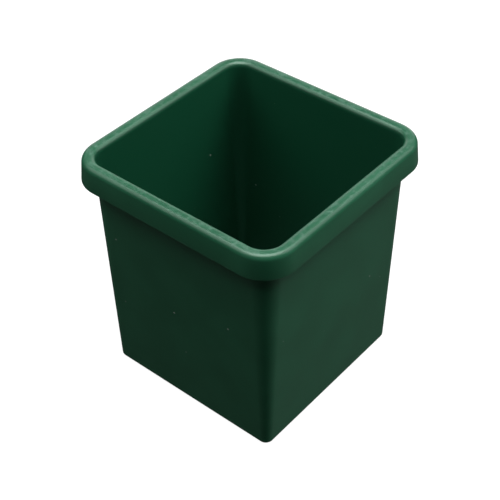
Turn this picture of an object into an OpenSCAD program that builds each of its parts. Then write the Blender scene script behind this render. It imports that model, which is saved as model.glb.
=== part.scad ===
// Square florist bucket: a tall, tapering, open-topped tub with a wide turned-down rim.
//
// The real bucket is one injection moulding with no moving parts. Here each feature of that
// moulding is its own closed solid, and neighbours meet face to face without overlapping.
// Origin: centre of the footprint, at the level the bucket stands on. +Z is up, -Y is the front.

/* [Bucket] */
// Overall height
height = 238; // [150:1:350]
// Outside width of the tub at its foot
foot_w = 185; // [150:1:195]
// Thickness of the walls, rim and skirt
wall_t = 2.2; // [1.5:0.1:3]

/* [Rim] */
// Outside width across the rim, just below its rounded top edge
rim_w = 220; // [210:1:280]
// Width of the rim's top, from its outside to the inside of the tub
rim_top_w = 12.5; // [12.5:0.5:16]
// Corner radius of the rim, seen from above
rim_corner_r = 29.5; // [24:0.5:40]
// Height of the rim, from its top to the lower edge of its skirt
rim_depth = 22.5; // [12:0.5:30]
// Radius of the rounded edge between the rim's top and its skirt
rim_round = 5; // [4:0.5:6]
// Radius of the rounded lip between the rim's top and the inside of the tub
lip_round = 5.5; // [4:0.5:6]
// How far the skirt leans outward at its lower edge
skirt_flare = 1.8; // [0:0.1:3]

/* [Foot] */
// Corner radius of the tub at its foot, seen from above
foot_corner_r = 8; // [7.5:0.5:12]
// Radius of the rounded edge round the foot
foot_round = 3.5; // [1:0.5:3.5]
// Height of the foot ring, which is also the level of the floor inside
foot_h = 4.5; // [4:0.5:8]
// Width of the flat that the foot ring stands on
foot_flat = 3.5; // [2:0.5:3.5]
// Thickness of the floor panel
floor_t = 2.5; // [1.5:0.1:3]

/* [Gate mark] */
// Diameter of the raised gate mark under the floor
gate_d = 9; // [4:1:16]
// How far the gate mark stands out
gate_h = 0.9; // [0.3:0.1:1]

/* [Hidden] */

$fn = 96;
arc_steps = 12;
bucket_green = "#215239";

// Corner centres: the rounded corners of the rim and of the tub's top share one centre, and
// the tub's corners are cones that narrow from there to a smaller radius at the foot.
rim_centre = rim_w / 2 - rim_corner_r;
foot_centre = foot_w / 2 - foot_corner_r;

// The walls run from the foot ring up to the rim's lip. wall_top is the distance from the
// bucket's axis to the outside of a wall's top edge.
wall_top_z = height - lip_round;
wall_top = rim_w / 2 - rim_top_w + wall_t;
wall_top_r = wall_top - rim_centre;

// Heights
floor_under_z = foot_h - floor_t;
skirt_top_z = height - rim_round;
skirt_edge_z = height - rim_depth;

// Distances outward from the foot's corner centres
foot_outer = foot_corner_r - foot_round;
foot_inner = foot_outer - foot_flat;

// Points along an arc about a centre, from one angle to another
function arc(centre, r, from, to) =
  [for (i = [0:arc_steps]) let (a = from + (to - from) * i / arc_steps)
    centre + r * [cos(a), sin(a)]];

// Carries a profile round a square with rounded corners. The profile's X is the distance
// outward from the corner centres, and its Y is the height.
module round_the_square(centre) {
  for (turn = [0:90:270]) {
    rotate(turn) translate([centre, centre, 0]) {
      rotate_extrude(angle = 90) children();
      rotate([90, 0, 0]) linear_extrude(2 * centre) children();
    }
  }
}

// A square with rounded corners, given by its corner centres and their radius
module rounded_square(centre, r) {
  square([2 * (centre + r), 2 * centre], center = true);
  square([2 * centre, 2 * (centre + r)], center = true);
  for (x = [-centre, centre], y = [-centre, centre]) {
    translate([x, y]) circle(r);
  }
}

// One flat side of the tub, facing +X before it is turned. It leans outward, and it narrows
// upward as the corners beside it grow.
module side_wall(turn) {
  color(bucket_green) rotate(turn) intersection() {
    rotate([90, 0, 0]) linear_extrude(foot_w, center = true) polygon([
      [foot_w / 2 - wall_t, foot_h],
      [foot_w / 2, foot_h],
      [wall_top, wall_top_z],
      [wall_top - wall_t, wall_top_z]
    ]);
    rotate([90, 0, 90]) linear_extrude(rim_w) polygon([
      [-foot_centre, foot_h],
      [foot_centre, foot_h],
      [rim_centre, wall_top_z],
      [-rim_centre, wall_top_z]
    ]);
  }
}

// One quarter-round corner of the tub, between +X and +Y before it is turned. Both of its
// surfaces are leaning cones, from the small radius at the foot to the large one at the top.
module cone_corner(turn) {
  foot_mid = [foot_centre, foot_centre];
  top_mid = [rim_centre, rim_centre];
  rows = [
    [for (p = arc(foot_mid, foot_corner_r, 0, 90)) [p.x, p.y, foot_h]],
    [for (p = arc(top_mid, wall_top_r, 0, 90)) [p.x, p.y, wall_top_z]],
    [for (p = arc(top_mid, wall_top_r - wall_t, 0, 90)) [p.x, p.y, wall_top_z]],
    [for (p = arc(foot_mid, foot_corner_r - wall_t, 0, 90)) [p.x, p.y, foot_h]]
  ];
  count = arc_steps + 1;
  strips = [for (row = [0:3], i = [0:arc_steps - 1]) let (next = (row + 1) % 4)
    [row * count + i, next * count + i, next * count + i + 1, row * count + i + 1]];
  first_end = [for (row = [3:-1:0]) row * count];
  last_end = [for (row = [0:3]) row * count + arc_steps];
  color(bucket_green) rotate(turn)
    polyhedron(points = [for (row = rows, p = row) p], faces = concat(strips, [first_end, last_end]));
}

// The bucket's floor, raised a little above the surface that the foot ring stands on
module floor_panel() {
  color(bucket_green) translate([0, 0, floor_under_z])
    linear_extrude(floor_t) rounded_square(foot_centre, foot_inner);
}

// The ring that the bucket stands on, with the rounded outer edge of the foot
module foot_ring() {
  color(bucket_green) round_the_square(foot_centre) polygon(concat(
    arc([foot_outer, foot_round], foot_round, 270, 360),
    [
      [foot_corner_r, foot_h],
      [foot_inner, foot_h],
      [foot_inner, 0]
    ]
  ));
}

// The small disc left under the floor where the plastic was injected, with a blunt tip
module gate_mark() {
  disc_h = gate_h / 2;
  color(bucket_green) translate([0, 0, floor_under_z]) mirror([0, 0, 1]) {
    cylinder(h = disc_h, d = gate_d);
    cylinder(h = gate_h, d1 = gate_d / 3, d2 = gate_d / 5);
  }
}

module right_wall() side_wall(0);
module back_wall() side_wall(90);
module left_wall() side_wall(180);
module front_wall() side_wall(270);

module back_right_corner() cone_corner(0);
module back_left_corner() cone_corner(90);
module front_left_corner() cone_corner(180);
module front_right_corner() cone_corner(270);

// The rim's top, a narrow flat between two rounded edges. Its inner edge, the lip, curves down
// to stand on the walls, and its outer edge bends down to meet the skirt.
module rim_flange() {
  lip = [rim_corner_r - rim_top_w + lip_round, height - lip_round];
  bend = [rim_corner_r - rim_round, height - rim_round];
  color(bucket_green) round_the_square(rim_centre) polygon(concat(
    arc(lip, lip_round, 180, 90),
    arc(bend, rim_round, 90, 0),
    arc(bend, rim_round - wall_t, 0, 90),
    arc(lip, lip_round - wall_t, 90, 180)
  ));
}

// The rim's turned-down apron, which leans outward and stands clear of the walls
module rim_skirt() {
  color(bucket_green) round_the_square(rim_centre) polygon([
    [rim_corner_r - wall_t, skirt_top_z],
    [rim_corner_r, skirt_top_z],
    [rim_corner_r + skirt_flare, skirt_edge_z],
    [rim_corner_r + skirt_flare - wall_t, skirt_edge_z]
  ]);
}

floor_panel();
foot_ring();
gate_mark();
right_wall();
back_wall();
left_wall();
front_wall();
back_right_corner();
back_left_corner();
front_left_corner();
front_right_corner();
rim_flange();
rim_skirt();
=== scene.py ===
# %% [markdown]
# # A square florist bucket
#
# A florist's bucket is a tall, tapering, open-topped tub moulded in one shot of dark green
# polypropylene. The whole look rests on three things: the way the square tub's corners turn
# from tight at the foot to generous at the rim, the soft rolled rim, and the satin sheen of
# moulded plastic. The CAD frame gives every size, and this script builds the visible moulding
# on it.

# %% Load the CAD frame
import math

import bmesh
import bpy
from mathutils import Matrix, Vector


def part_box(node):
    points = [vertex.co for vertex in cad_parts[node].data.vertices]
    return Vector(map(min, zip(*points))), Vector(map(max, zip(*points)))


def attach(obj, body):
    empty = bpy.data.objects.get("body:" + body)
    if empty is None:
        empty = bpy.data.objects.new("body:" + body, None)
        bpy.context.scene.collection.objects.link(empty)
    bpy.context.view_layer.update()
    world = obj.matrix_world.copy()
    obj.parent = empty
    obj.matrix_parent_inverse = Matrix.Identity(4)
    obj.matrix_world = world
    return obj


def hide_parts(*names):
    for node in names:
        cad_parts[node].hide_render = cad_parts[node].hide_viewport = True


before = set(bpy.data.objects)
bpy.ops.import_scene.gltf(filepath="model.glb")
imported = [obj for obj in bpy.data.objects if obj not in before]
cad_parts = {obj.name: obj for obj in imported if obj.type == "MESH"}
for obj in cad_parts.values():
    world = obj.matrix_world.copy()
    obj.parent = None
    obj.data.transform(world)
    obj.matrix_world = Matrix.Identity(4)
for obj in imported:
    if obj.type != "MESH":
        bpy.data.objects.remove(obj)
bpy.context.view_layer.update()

# %% [markdown]
# ## The sizes that the frame gives
#
# Every part of the real bucket is tied to two squares: the small one it stands on and the
# large one round the rim. Reading them from the CAD nodes' boxes, and not typing them again,
# keeps the visible moulding exactly where the measured one is.


# %% Read the bucket's sizes
def low(node):
    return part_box(node)[0]


def high(node):
    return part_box(node)[1]


height = high("rim_flange")[2]
rim_half = high("rim_flange")[0]
rim_centre = low("back_right_corner")[0]
lip_z = low("rim_flange")[2]
bend_z = high("rim_skirt")[2]
skirt_half = high("rim_skirt")[0]
skirt_z = low("rim_skirt")[2]

foot_half = high("foot_ring")[0]
foot_centre = high("right_wall")[1]
floor_z = high("foot_ring")[2]
recess_half = high("floor_panel")[0]
recess_z = low("floor_panel")[2]

wall = foot_half - low("right_wall")[0]
tub_top_half = high("right_wall")[0]
print(f"rim {2000 * rim_half:.1f} mm, foot {2000 * foot_half:.1f} mm, wall {1000 * wall:.1f} mm")

# %% [markdown]
# ## The camera
#
# The bucket is seen from above one corner, with a long lens, so its sides run almost parallel.
# Placing the camera by azimuth, elevation and distance round an aim point is easier to reason
# about than typing its position. A slight roll stands in for a camera that was not quite level.


# %% Place the camera
def camera_at(azimuth, elevation, roll, distance, aim, lens):
    """Add the scene's camera, looking at aim from a distance."""
    back = Vector((
        math.sin(azimuth) * math.cos(elevation),
        -math.cos(azimuth) * math.cos(elevation),
        math.sin(elevation),
    ))
    bpy.ops.object.camera_add(location=aim + distance * back)
    camera = bpy.context.object
    camera.rotation_euler = (-back).to_track_quat("-Z", "Y").to_euler()
    camera.rotation_euler.rotate_axis("Z", roll)
    camera.data.lens = lens
    bpy.context.scene.camera = camera
    return camera


camera = camera_at(
    azimuth=math.radians(40.35),
    elevation=math.radians(41.13),
    roll=math.radians(-0.91),
    distance=1.0756,
    aim=Vector((-0.0021, -0.0005, 0.1201)),
    lens=84.8,
)
print("camera at", [round(value, 3) for value in camera.location])

# %% [markdown]
# ## The floor
#
# The bucket stands on a plain pale floor, as on a sheet of white paper. A little glow in the
# paper keeps it white right up to the foot. The floor hides itself from diffuse and glossy
# rays, because a white floor would light the walls from below and wash out their dark green.

# %% Add the pale floor
floor_size = 6.0
bpy.ops.mesh.primitive_plane_add(size=floor_size, location=(0, 0, 0))
studio_floor = bpy.context.object
studio_floor.name = "studio_floor"
studio_floor.visible_diffuse = False
studio_floor.visible_glossy = False

floor_paint = bpy.data.materials.new("pale_floor")
floor_paint.use_nodes = True
floor_shader = floor_paint.node_tree.nodes["Principled BSDF"]
floor_shader.inputs["Base Color"].default_value = (0.25, 0.25, 0.25, 1)
floor_shader.inputs["Roughness"].default_value = 0.9
floor_shader.inputs["Specular IOR Level"].default_value = 0.0
floor_shader.inputs["Emission Color"].default_value = (1, 1, 1, 1)
floor_shader.inputs["Emission Strength"].default_value = 0.9
studio_floor.data.materials.append(floor_paint)
print("floor", floor_size, "m across")

# %% [markdown]
# ## The light
#
# A satin surface with no pattern is drawn by its light. Soft lamps high overhead light the
# rim's top and, grazing down past it, the walls, so a dark band lies under the rim. The right
# wall gets the most. Two high panels and a low one behind put the long pale lines on the rim's
# outer edge and its lip, and the glint lamp puts a brighter one round the near corner.
#
# In a studio, flags and grids keep a lamp's reflection off a shiny product, or its light off
# the rest of the set. Here a lamp can simply be left out of reflections or of diffuse light.


# %% Light it
def soft_box(name, size, location, power, seen_in="all"):
    """Add an area light facing the mouth, seen in "all", only "diffuse" or only "gloss"."""
    bpy.ops.object.light_add(type="AREA", location=location)
    lamp = bpy.context.object
    lamp.name = name
    lamp.data.shape = "RECTANGLE"
    lamp.data.size, lamp.data.size_y = size
    lamp.data.energy = power
    lamp.visible_glossy = seen_in != "diffuse"
    lamp.visible_diffuse = seen_in != "gloss"
    toward_mouth = Vector((0, 0, height)) - Vector(location)
    lamp.rotation_euler = toward_mouth.to_track_quat("-Z", "Y").to_euler()
    print(name, power, "W, seen in", seen_in)


soft_box("high_right_panel", (1.2, 1.2), (0.7, 0.75, 1.2), 7.5)
soft_box("high_left_panel", (1.2, 1.2), (-0.7, -0.5, 1.2), 7)
soft_box("low_back_panel", (1.8, 1.0), (-0.9, 1.2, 0.55), 8)
soft_box("right_lamp", (0.9, 0.9), (0.8, 0.6, 1.5), 16, seen_in="diffuse")
soft_box("left_lamp", (0.9, 0.9), (-0.7, -0.4, 1.45), 5, seen_in="diffuse")
soft_box("near_lamp", (0.9, 0.9), (0.3, -0.4, 1.5), 6.5, seen_in="diffuse")
soft_box("glint_lamp", (1.0, 0.85), (0.07, -0.06, 1.38), 22, seen_in="gloss")

# %% [markdown]
# ## The surroundings
#
# To the camera the world is white, like the floor. To the plastic it is a dark studio, pale
# only to the back right and, less, to the front left. The two near walls mirror those two
# parts, and the near corner between them mirrors the dark front. A ramp holds the three tones,
# and a dot product with the direction to the back right says where on the ramp a ray falls.

# %% Add the surroundings
world = bpy.data.worlds.new("studio")
bpy.context.scene.world = world
world.use_nodes = True
nodes, links = world.node_tree.nodes, world.node_tree.links
nodes.clear()
toward = nodes.new("ShaderNodeTexCoord")
side = nodes.new("ShaderNodeVectorMath")
side.operation = "DOT_PRODUCT"
toward_back_right = (0.325, 0.38, 0)
side.inputs[1].default_value = toward_back_right
middle = nodes.new("ShaderNodeMath")
middle.operation = "ADD"
middle.inputs[1].default_value = 0.5
glow = nodes.new("ShaderNodeValToRGB")
front_left, back_right = glow.color_ramp.elements
front_left.position = 0.1
front_left.color = (0.05, 0.05, 0.05, 1)
back_right.position = 0.9
back_right.color = (0.12, 0.12, 0.12, 1)
between = glow.color_ramp.elements.new(0.5)
between.color = (0.01, 0.01, 0.01, 1)
dim = nodes.new("ShaderNodeBackground")
white = nodes.new("ShaderNodeBackground")
path = nodes.new("ShaderNodeLightPath")
choice = nodes.new("ShaderNodeMixShader")
output = nodes.new("ShaderNodeOutputWorld")
white.inputs["Color"].default_value = (1, 1, 1, 1)
links.new(toward.outputs["Generated"], side.inputs[0])
links.new(side.outputs["Value"], middle.inputs[0])
links.new(middle.outputs[0], glow.inputs[0])
links.new(glow.outputs["Color"], dim.inputs["Color"])
links.new(path.outputs["Is Camera Ray"], choice.inputs[0])
links.new(dim.outputs[0], choice.inputs[1])
links.new(white.outputs[0], choice.inputs[2])
links.new(choice.outputs[0], output.inputs["Surface"])
bpy.context.scene.view_settings.view_transform = "Standard"
print("surroundings:", len(nodes), "nodes")

# %% [markdown]
# ## The moulding's section
#
# Cut the bucket through its middle and the plastic shows as one ribbon: under the floor, round
# the foot, up the outside of the wall, under the rim, round the skirt, over the rim's top and
# down the inside again. The ribbon is written here as a list of levels. A level is a rounded
# square: how far its sides are from the axis, where its corner centres are, and its height.
# Its corner radius is the first less the second, which is how the corners come to be cones.


# %% Write the section as levels
def arc_levels(centre, half, z, radius, start, end, steps):
    """Levels along an arc of the section about the point (half, z), angles in degrees."""
    levels = []
    for step in range(steps + 1):
        angle = math.radians(start + (end - start) * step / steps)
        levels.append((half + radius * math.cos(angle), centre, z + radius * math.sin(angle)))
    return levels


def wall_levels(bottom, top, shares):
    """Levels on the straight wall between two others, at shares of the way up."""
    return [tuple(a + (b - a) * share for a, b in zip(bottom, top)) for share in shares]


foot_round = 0.0035
floor_fillet = 0.003
lip_round = height - lip_z
bend_round = height - bend_z
lip_mid = tub_top_half - wall + lip_round
bend_mid = rim_half - bend_round
wall_shares = [0.02, 0.35, 0.68, 0.98]

outer_foot = (foot_half, foot_centre, floor_z)
outer_top = (tub_top_half, rim_centre, lip_z)
inner_foot = (foot_half - wall, foot_centre, floor_z)
inner_top = (tub_top_half - wall, rim_centre, lip_z)
fillet_top = wall_levels(inner_foot, inner_top, [floor_fillet / (lip_z - floor_z)])[0]

section = [(recess_half, foot_centre, recess_z), (recess_half, foot_centre, 0)]
section += arc_levels(foot_centre, foot_half - foot_round, foot_round, foot_round, -90, 0, 8)
section += [outer_foot] + wall_levels(outer_foot, outer_top, wall_shares)
section += arc_levels(rim_centre, lip_mid, lip_z, lip_round - wall, 180, 90, 6)
section += arc_levels(rim_centre, bend_mid, bend_z, bend_round - wall, 90, 0, 6)
section += [(skirt_half - wall, rim_centre, skirt_z), (skirt_half, rim_centre, skirt_z)]
section += arc_levels(rim_centre, bend_mid, bend_z, bend_round, 0, 90, 12)
section += arc_levels(rim_centre, lip_mid, lip_z, lip_round, 90, 180, 12)
section += wall_levels(inner_top, fillet_top, wall_shares)
section += arc_levels(fillet_top[1], fillet_top[0] - floor_fillet, floor_z + floor_fillet,
                      floor_fillet, 0, -90, 6)
print(len(section), "levels in the section")

# %% [markdown]
# ## Lofting the moulding
#
# Scaling one rounded square up the bucket would scale its corners too, and the real corners
# grow much faster than the sides. So each level is its own plane, with its four corner points
# bevelled to the level's own radius, and each is bridged to the one before. That is a loft.
# It starts under the floor and ends on top of it.
#
# The bridge operator works out which point faces which from the direction between two loops.
# Two levels at the same height give it none, and it can join them half a turn out. So each
# level is made a whole bucket's height too high, bridged, and then lowered into its place.

# %% Select by place
close = 2e-5


def outward(x, y, centre):
    """How far a point is from a square's corner centres, or from the lines between them."""
    return math.hypot(max(abs(x) - centre, 0), max(abs(y) - centre, 0))


def select_levels(levels):
    """In edit mode, select just the points that lie on the given levels."""
    bpy.ops.mesh.select_all(action="DESELECT")
    mesh = bmesh.from_edit_mesh(bpy.context.object.data)
    for vert in mesh.verts:
        for half, centre, z in levels:
            off_side = abs(outward(vert.co.x, vert.co.y, centre) - (half - centre))
            if abs(vert.co.z - z) < close and off_side < close:
                vert.select = True
    mesh.select_flush_mode()


print(f"a point is on a level when it is within {1e6 * close:.0f} micrometres of it")

# %% Loft the levels
corner_steps = 16


def add_level(level):
    """Add a square outline with its corners rounded, at its height."""
    half, centre, z = level
    bpy.ops.mesh.primitive_plane_add(size=2 * half, location=(0, 0, z))
    bpy.ops.mesh.bevel(offset=half - centre, segments=corner_steps, affect="VERTICES")
    bpy.ops.mesh.delete(type="ONLY_FACE")


bpy.ops.object.select_all(action="DESELECT")
bpy.ops.mesh.primitive_plane_add(size=2 * rim_half, location=(0, 0, 0))
bucket = bpy.context.object
bucket.name = "bucket_moulding"
bpy.ops.object.mode_set(mode="EDIT")
bpy.ops.mesh.select_mode(type="VERT")
bpy.ops.mesh.delete(type="VERT")
add_level(section[0])
for below, level in zip(section, section[1:]):
    lifted = (level[0], level[1], level[2] + height)
    add_level(lifted)
    select_levels([below, lifted])
    bpy.ops.mesh.bridge_edge_loops()
    select_levels([lifted])
    bpy.ops.transform.translate(value=(0, 0, -height))
print("lofted:", len(bmesh.from_edit_mesh(bucket.data).faces), "faces")

# %% [markdown]
# ## Closing and trimming the moulding
#
# The ribbon is still open in the middle, where the floor's top and underside go. Each gets one
# face, and an inset keeps that face's flat shading away from the fillet round it. The four
# sides get a cut beside each corner for the same reason. Sharp moulded edges are never quite
# sharp, so the skirt's two lower edges and the edge of the foot's recess get a small bevel.

# %% Close and trim it
edge_round = 0.0004
beside_corner = 0.003
cap_border = 0.002

for cap in (section[0], section[-1]):
    select_levels([cap])
    bpy.ops.mesh.edge_face_add()
    bpy.ops.mesh.inset(thickness=cap_border, depth=0)

inner_skirt = (skirt_half - wall, rim_centre, skirt_z)
outer_skirt = (skirt_half, rim_centre, skirt_z)
for sharp in (inner_skirt, outer_skirt, section[1]):
    select_levels([sharp])
    bpy.ops.mesh.bevel(offset=edge_round, segments=3, affect="EDGES")

lean = (foot_centre - rim_centre) / (lip_z - floor_z)
for across, along in ((0, 1), (1, 0)):
    for side in (-1, 1):
        bpy.ops.mesh.select_all(action="SELECT")
        cut_place = side * (foot_centre - beside_corner)
        bpy.ops.mesh.bisect(
            plane_co=(cut_place * across, cut_place * along, floor_z),
            plane_no=(side * across, side * along, lean),
        )
bpy.ops.mesh.select_all(action="SELECT")
bpy.ops.mesh.normals_make_consistent(inside=False)
print("closed:", len(bmesh.from_edit_mesh(bucket.data).faces), "faces")
bpy.ops.object.mode_set(mode="OBJECT")

# %% Smooth the moulding and tie it to the frame
smooth_below = math.radians(30)


def finish_piece(piece, *nodes):
    """Smooth a finished piece's shading and tie it to the frame in place of CAD nodes."""
    bpy.ops.object.select_all(action="DESELECT")
    piece.select_set(True)
    bpy.context.view_layer.objects.active = piece
    bpy.ops.object.shade_smooth_by_angle(angle=smooth_below)
    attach(piece, "root")
    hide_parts(*nodes)
    print(piece.name, "has", len(piece.data.polygons), "faces")


finish_piece(bucket, *[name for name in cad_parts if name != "gate_mark"])

# %% [markdown]
# ## The gate mark
#
# Plastic enters the mould through a gate in the middle of the floor, and leaves a small disc
# with a snapped-off tip under it. The disc starts as a cylinder. Its lower edge is bevelled,
# its lower face is inset twice and pulled down into a narrowing tip, and the tip's end is
# dented a little, as where the plastic snapped off.

# %% Model the gate mark
gate_radius = high("gate_mark")[0]
gate_drop = recess_z - low("gate_mark")[2]
disc_drop = gate_drop / 2
disc_round = 0.0002
disc_border = 0.0026
tip_groove = 0.0004
tip_border = 0.0003
tip_narrowing = 0.6
dent = 0.0001

bpy.ops.object.select_all(action="DESELECT")
bpy.ops.mesh.primitive_cylinder_add(
    vertices=64, radius=gate_radius, depth=disc_drop, location=(0, 0, recess_z - disc_drop / 2)
)
gate = bpy.context.object
gate.name = "injection_gate"
bpy.ops.object.transform_apply(location=True)
bpy.ops.object.mode_set(mode="EDIT")


def select_low_face(z):
    """In edit mode, select the face that looks straight down at a height."""
    bpy.ops.mesh.select_all(action="DESELECT")
    bpy.ops.mesh.select_mode(type="FACE")
    mesh = bmesh.from_edit_mesh(bpy.context.object.data)
    for face in mesh.faces:
        if face.normal.z < -0.9 and abs(face.calc_center_median().z - z) < close:
            face.select = True


gate_face_z = recess_z - disc_drop
select_low_face(gate_face_z)
bpy.ops.mesh.bevel(offset=disc_round, segments=2, affect="EDGES")
select_low_face(gate_face_z)
bpy.ops.mesh.inset(thickness=disc_border, depth=-dent)
bpy.ops.mesh.inset(thickness=tip_groove, depth=dent)
bpy.ops.mesh.extrude_region_move(TRANSFORM_OT_translate={"value": (0, 0, disc_drop - gate_drop)})
bpy.ops.transform.resize(value=(tip_narrowing, tip_narrowing, 1))
bpy.ops.mesh.inset(thickness=tip_border, depth=-dent)
bpy.ops.mesh.select_all(action="SELECT")
bpy.ops.mesh.normals_make_consistent(inside=False)
bpy.ops.object.mode_set(mode="OBJECT")
finish_piece(gate, "gate_mark")

# %% [markdown]
# ## Node groups for the finish
#
# Moulded polypropylene is never evenly shiny or evenly coloured. Five effects make up its
# surface as drawn here, and each is a group of nodes with its own inputs: the moulded grain,
# streaks that run along the rim, edges worn paler by nesting, painted shade that darkens the
# inside, and specks of dust. All of them read Object coordinates, in metres, so they stay on the
# plastic at a real scale.


# %% Helpers for building node groups
def new_group(name, inputs, outputs):
    """Make a shader node group with value inputs, and hand back its parts."""
    group = bpy.data.node_groups.new(name, "ShaderNodeTree")
    group.interface.new_socket("Place", in_out="INPUT", socket_type="NodeSocketVector")
    for label, value in inputs.items():
        socket = group.interface.new_socket(label, in_out="INPUT", socket_type="NodeSocketFloat")
        socket.default_value = value
    for label in outputs:
        group.interface.new_socket(label, in_out="OUTPUT", socket_type="NodeSocketFloat")
    entry = group.nodes.new("NodeGroupInput")
    end = group.nodes.new("NodeGroupOutput")
    return group, entry.outputs, end.inputs


def wire(tree, kind, settings=None, **inputs):
    """Add a node, set its properties, and link or set its inputs by name or number."""
    node = tree.nodes.new(kind)
    for label, value in (settings or {}).items():
        setattr(node, label, value)
    for label, value in inputs.items():
        place = int(label[1:]) if label[0] == "n" and label[1:].isdigit() else label
        socket = node.inputs[place]
        if isinstance(value, bpy.types.NodeSocket):
            tree.links.new(value, socket)
        else:
            socket.default_value = value
    return node


def calc(tree, operation, first, second=0.0, third=0.0, clamp=False):
    """Add a Math node and hand back its output."""
    settings = {"operation": operation, "use_clamp": clamp}
    node = wire(tree, "ShaderNodeMath", settings, n0=first, n1=second, n2=third)
    return node.outputs[0]


def remap(tree, value, from_low, from_high, to_low=0.0, to_high=1.0):
    """Add a smooth Map Range node and hand back its output."""
    node = wire(tree, "ShaderNodeMapRange", {"interpolation_type": "SMOOTHSTEP"}, n0=value)
    for number, limit in enumerate((from_low, from_high, to_low, to_high)):
        node.inputs[number + 1].default_value = limit
    return node.outputs[0]


def noise(tree, place, scale, detail=3.0, roughness=0.5):
    """Add a Noise Texture on a place and hand back its value."""
    node = wire(tree, "ShaderNodeTexNoise", None, Vector=place, Scale=scale, Detail=detail,
                Roughness=roughness)
    return node.outputs[0]


# %% [markdown]
# ### Moulded grain
#
# The steel of the mould has a fine spark-eroded grain, each pit about 0.4 mm across, and the
# plastic copies it. Under the grain the wall itself is slightly uneven, with soft
# swells a few centimetres long left as the plastic shrank. One output is fine and one is slow.

# %% Build the grain group
grain, given, gives = new_group("moulded_grain", {"Grain per metre": 2600.0}, ["Fine", "Slow"])
fine = noise(grain, given["Place"], given["Grain per metre"], detail=2.0)
pits = wire(grain, "ShaderNodeTexVoronoi", {"feature": "SMOOTH_F1"}, Vector=given["Place"],
            Scale=given["Grain per metre"])
grain.links.new(calc(grain, "ADD", fine, pits.outputs["Distance"]), gives["Fine"])
swells_per_metre = 22.0
slow = noise(grain, given["Place"], swells_per_metre, detail=2.0)
grain.links.new(slow, gives["Slow"])
print("grain group:", len(grain.nodes), "nodes")

# %% [markdown]
# ### Streaks that follow the rim
#
# Faint lines run along the rim and turn its corners with it. A plain stretched noise would run
# straight on. So the noise is laid out by how far out and how high a point is: the distance
# outwards from the corner centres is the same all along one line of the rim. A little of the
# point's own place is mixed in, so that each line fades and comes back along its length.

# %% Build the streaks group
def distance_outward(tree, axes, centre):
    """Measure how far out a point lies from the square of corner centres."""
    squares = []
    for axis in ("X", "Y"):
        size = calc(tree, "ABSOLUTE", axes.outputs[axis])
        past = calc(tree, "MAXIMUM", calc(tree, "SUBTRACT", size, centre), 0.0)
        squares.append(calc(tree, "MULTIPLY", past, past))
    return calc(tree, "SQRT", calc(tree, "ADD", *squares))


streaks, given, gives = new_group(
    "rim_streaks", {"Corner centre": 0.08, "Lines per metre": 900.0}, ["Streaks", "Outward"]
)
axes = wire(streaks, "ShaderNodeSeparateXYZ", None, Vector=given["Place"])
out = distance_outward(streaks, axes, given["Corner centre"])
profile = wire(streaks, "ShaderNodeCombineXYZ", None, X=out, Z=axes.outputs["Z"])
drift = wire(streaks, "ShaderNodeVectorMath", {"operation": "SCALE"}, n0=given["Place"])
own_place_share = 0.012
drift.inputs["Scale"].default_value = own_place_share
along = wire(streaks, "ShaderNodeVectorMath", {"operation": "ADD"}, n0=profile.outputs[0],
             n1=drift.outputs[0])
lines = noise(streaks, along.outputs[0], given["Lines per metre"], detail=2.0)
streaks.links.new(lines, gives["Streaks"])
streaks.links.new(out, gives["Outward"])
print("streaks group:", len(streaks.nodes), "nodes")

# %% [markdown]
# ### Worn edges
#
# Nested buckets rub on each other's lips and skirts, and a bucket is dragged about on its
# foot. The rubbed edges are a little paler and duller. Height says where the rim's top and the
# foot are worn. The skirt's lower edge also needs the distance outward, or the wall behind it
# would be worn too. A broken noise says how much.

# %% Build the wear group
wear, given, gives = new_group(
    "rubbed_edges",
    {"Outward": 0.0, "Lowest": 0.0, "Highest": 0.238, "Skirt edge": 0.2155, "Skirt inside": 0.027},
    ["Wear"],
)
axes = wire(wear, "ShaderNodeSeparateXYZ", None, Vector=given["Place"])


def band_at(level, width):
    """A mask that fades out over a width above and below a level."""
    gap = calc(wear, "ABSOLUTE", calc(wear, "SUBTRACT", axes.outputs["Z"], level))
    return remap(wear, gap, width, 0.0)


skirt_band = 0.0016
foot_band = 0.003
top_band = 0.0012
on_skirt = calc(wear, "GREATER_THAN", given["Outward"], given["Skirt inside"])
worn = calc(wear, "MULTIPLY", band_at(given["Skirt edge"], skirt_band), on_skirt)
worn = calc(wear, "MAXIMUM", worn, band_at(given["Lowest"], foot_band))
worn = calc(wear, "MAXIMUM", worn, band_at(given["Highest"], top_band))
patches_per_metre = 160.0
scuffs = noise(wear, given["Place"], patches_per_metre, detail=4.0, roughness=0.65)
patchy = remap(wear, scuffs, 0.45, 0.72)
wear.links.new(calc(wear, "MULTIPLY", worn, patchy), gives["Wear"])
print("wear group:", len(wear.nodes), "nodes")

# %% [markdown]
# ### The inside, darkened with painted shade
#
# The inside is painted a deeper green than the outside. This is painted shade: the lamps reach
# down inside too easily, and the darker colour stands in for the shade that should fall there.
# A point is inside when it lies deeper than the middle of the wall, measured from the tub's
# outer face. That face leans, so its corner centres and its corner radius both change evenly on
# the way up from the foot. The underside lies as deep as the floor above it, so a second mask,
# by height, leaves it out.

# %% Build the group for the painted shade inside
inside, given, gives = new_group(
    "painted_inside_shade",
    {"Floor level": 0.0045, "Top level": 0.2325, "Foot centre": 0.0845, "Top centre": 0.0805,
     "Foot radius": 0.008, "Top radius": 0.0192, "Wall": 0.0022},
    ["Inside"],
)
axes = wire(inside, "ShaderNodeSeparateXYZ", None, Vector=given["Place"])
rise = wire(inside, "ShaderNodeMapRange", None, n0=axes.outputs["Z"], n1=given["Floor level"],
            n2=given["Top level"]).outputs[0]


def on_the_way_up(bottom, top):
    """Change evenly from the value at the foot to the value at the top."""
    return calc(inside, "MULTIPLY_ADD", rise, calc(inside, "SUBTRACT", top, bottom), bottom)


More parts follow.
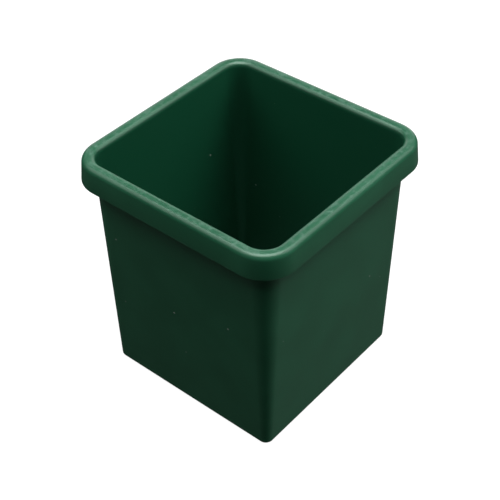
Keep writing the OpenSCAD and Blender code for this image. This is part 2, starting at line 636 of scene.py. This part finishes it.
centre_here = on_the_way_up(given["Foot centre"], given["Top centre"])
radius_here = on_the_way_up(given["Foot radius"], given["Top radius"])
out = distance_outward(inside, axes, centre_here)
depth = calc(inside, "DIVIDE", calc(inside, "SUBTRACT", radius_here, out), given["Wall"])
deep_enough = remap(inside, depth, 0.3, 0.7)
height_share = calc(inside, "DIVIDE", axes.outputs["Z"], given["Floor level"])
above_floor = remap(inside, height_share, 0.6, 0.9)
inside.links.new(calc(inside, "MULTIPLY", deep_enough, above_floor), gives["Inside"])
print("inside group:", len(inside.nodes), "nodes")

# %% [markdown]
# ### Dust
#
# A few pale specks sit on the dark plastic, inside and out. Each cell of a Voronoi texture has
# one point and one random colour. A speck is drawn close to the point, and only in the few
# cells whose first random value is low. The second random value sets the speck's size.

# %% Build the dust group
dust, given, gives = new_group(
    "dust_specks", {"Cells per metre": 95.0, "Speck size": 0.035, "Share": 0.1}, ["Dust"]
)
cells = wire(dust, "ShaderNodeTexVoronoi", None, Vector=given["Place"],
             Scale=given["Cells per metre"])
chance = wire(dust, "ShaderNodeSeparateColor", None, Color=cells.outputs["Color"])
speck_size = calc(dust, "MULTIPLY", given["Speck size"], chance.outputs[1])
near = calc(dust, "LESS_THAN", cells.outputs["Distance"], speck_size)
chosen = calc(dust, "LESS_THAN", chance.outputs[0], given["Share"])
dust.links.new(calc(dust, "MULTIPLY", near, chosen), gives["Dust"])
print("dust group:", len(dust.nodes), "nodes")

# %% [markdown]
# ## The satin green plastic
#
# The colour is a deep bluish green, a shade different from place to place. Roughness carries
# most of the look: the moulded surface is satin all over, finely streaked on the rim, and dull
# where it is rubbed or dusty. The grain's bump is about a hundredth of a millimetre, because
# it is felt more than seen. The slow swells are deeper, but spread over centimetres.

# %% Build the plastic
deep_green = (0.0125, 0.1, 0.0475, 1)
pale_green = (0.0165, 0.115, 0.0565, 1)
# A darker green for the inside: painted shade, not a colour of the plastic.
inside_painted_shade_green = (0.0058, 0.0615, 0.029, 1)
rubbed_green = (0.09, 0.21, 0.15, 1)
dust_pale = (0.3, 0.36, 0.31, 1)


def blend(tree, share, first, second):
    """Add a colour Mix node and hand back its output."""
    node = wire(tree, "ShaderNodeMix", {"data_type": "RGBA"}, n0=share, n6=first, n7=second)
    return node.outputs[2]


def use_group(tree, group, place, **values):
    """Place a node group in a material, and hand back its outputs."""
    node = wire(tree, "ShaderNodeGroup", {"node_tree": group}, Place=place)
    for label, value in values.items():
        socket = node.inputs[label.replace("_", " ")]
        if isinstance(value, bpy.types.NodeSocket):
            tree.links.new(value, socket)
        else:
            socket.default_value = value
    return node.outputs


plastic = bpy.data.materials.new("satin_green_plastic")
plastic.use_nodes = True
tree = plastic.node_tree
shader = tree.nodes["Principled BSDF"]
place = wire(tree, "ShaderNodeTexCoord").outputs["Object"]
grains = use_group(tree, grain, place, Grain_per_metre=2600.0)
lines = use_group(tree, streaks, place, Corner_centre=rim_centre, Lines_per_metre=1400.0)
rubs = use_group(tree, wear, place, Outward=lines["Outward"], Lowest=0.0, Highest=height,
                 Skirt_edge=skirt_z, Skirt_inside=rim_half - rim_centre - wall)
within = use_group(tree, inside, place, Floor_level=floor_z, Top_level=lip_z,
                   Foot_centre=foot_centre, Top_centre=rim_centre,
                   Foot_radius=foot_half - foot_centre, Top_radius=tub_top_half - rim_centre,
                   Wall=wall)
specks = use_group(tree, dust, place, Cells_per_metre=95.0, Speck_size=0.1, Share=0.12)

noise_low, noise_high = 0.3, 0.7
unevenness = remap(tree, grains["Slow"], noise_low, noise_high)
colour = blend(tree, unevenness, deep_green, pale_green)
# Painted shade: the inside is darkened towards a deeper green.
colour = blend(tree, within["Inside"], colour, inside_painted_shade_green)
most_paling = 0.5
paling = calc(tree, "MULTIPLY", rubs["Wear"], most_paling)
colour = blend(tree, paling, colour, rubbed_green)
colour = blend(tree, specks["Dust"], colour, dust_pale)
tree.links.new(colour, shader.inputs["Base Color"])

level = wire(tree, "ShaderNodeSeparateXYZ", None, Vector=place).outputs["Z"]
streaks_from = bend_z - 0.001
streaks_full = bend_z + 0.002
on_rim = remap(tree, level, streaks_from, streaks_full)
streak = remap(tree, lines["Streaks"], noise_low, noise_high, -1.0, 1.0)
rim_streak = calc(tree, "MULTIPLY", streak, on_rim)

satin = 0.27
grain_dulls, streak_dulls, uneven_dulls, rubbing_dulls, dust_dulls = 0.05, 0.025, 0.04, 0.2, 0.5
dulling = calc(tree, "MULTIPLY_ADD", grains["Fine"], grain_dulls, satin)
dulling = calc(tree, "MULTIPLY_ADD", rim_streak, streak_dulls, dulling)
dulling = calc(tree, "MULTIPLY_ADD", unevenness, uneven_dulls, dulling)
dulling = calc(tree, "MULTIPLY_ADD", rubs["Wear"], rubbing_dulls, dulling)
dulling = calc(tree, "MULTIPLY_ADD", specks["Dust"], dust_dulls, dulling, clamp=True)
tree.links.new(dulling, shader.inputs["Roughness"])

grain_height = 0.000012
swell_height = 0.0002
streak_height = 0.000005
relief = calc(tree, "MULTIPLY", grains["Fine"], grain_height)
relief = calc(tree, "MULTIPLY_ADD", grains["Slow"], swell_height, relief)
relief = calc(tree, "MULTIPLY_ADD", rim_streak, streak_height, relief)
bump = wire(tree, "ShaderNodeBump", None, Height=relief, Strength=1.0, Distance=1.0)
tree.links.new(bump.outputs[0], shader.inputs["Normal"])
polypropylene_ior = 1.49
shader.inputs["IOR"].default_value = polypropylene_ior

for piece in [bucket, gate] + list(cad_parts.values()):
    piece.data.materials.clear()
    piece.data.materials.append(plastic)
print("plastic:", len(tree.nodes), "nodes")
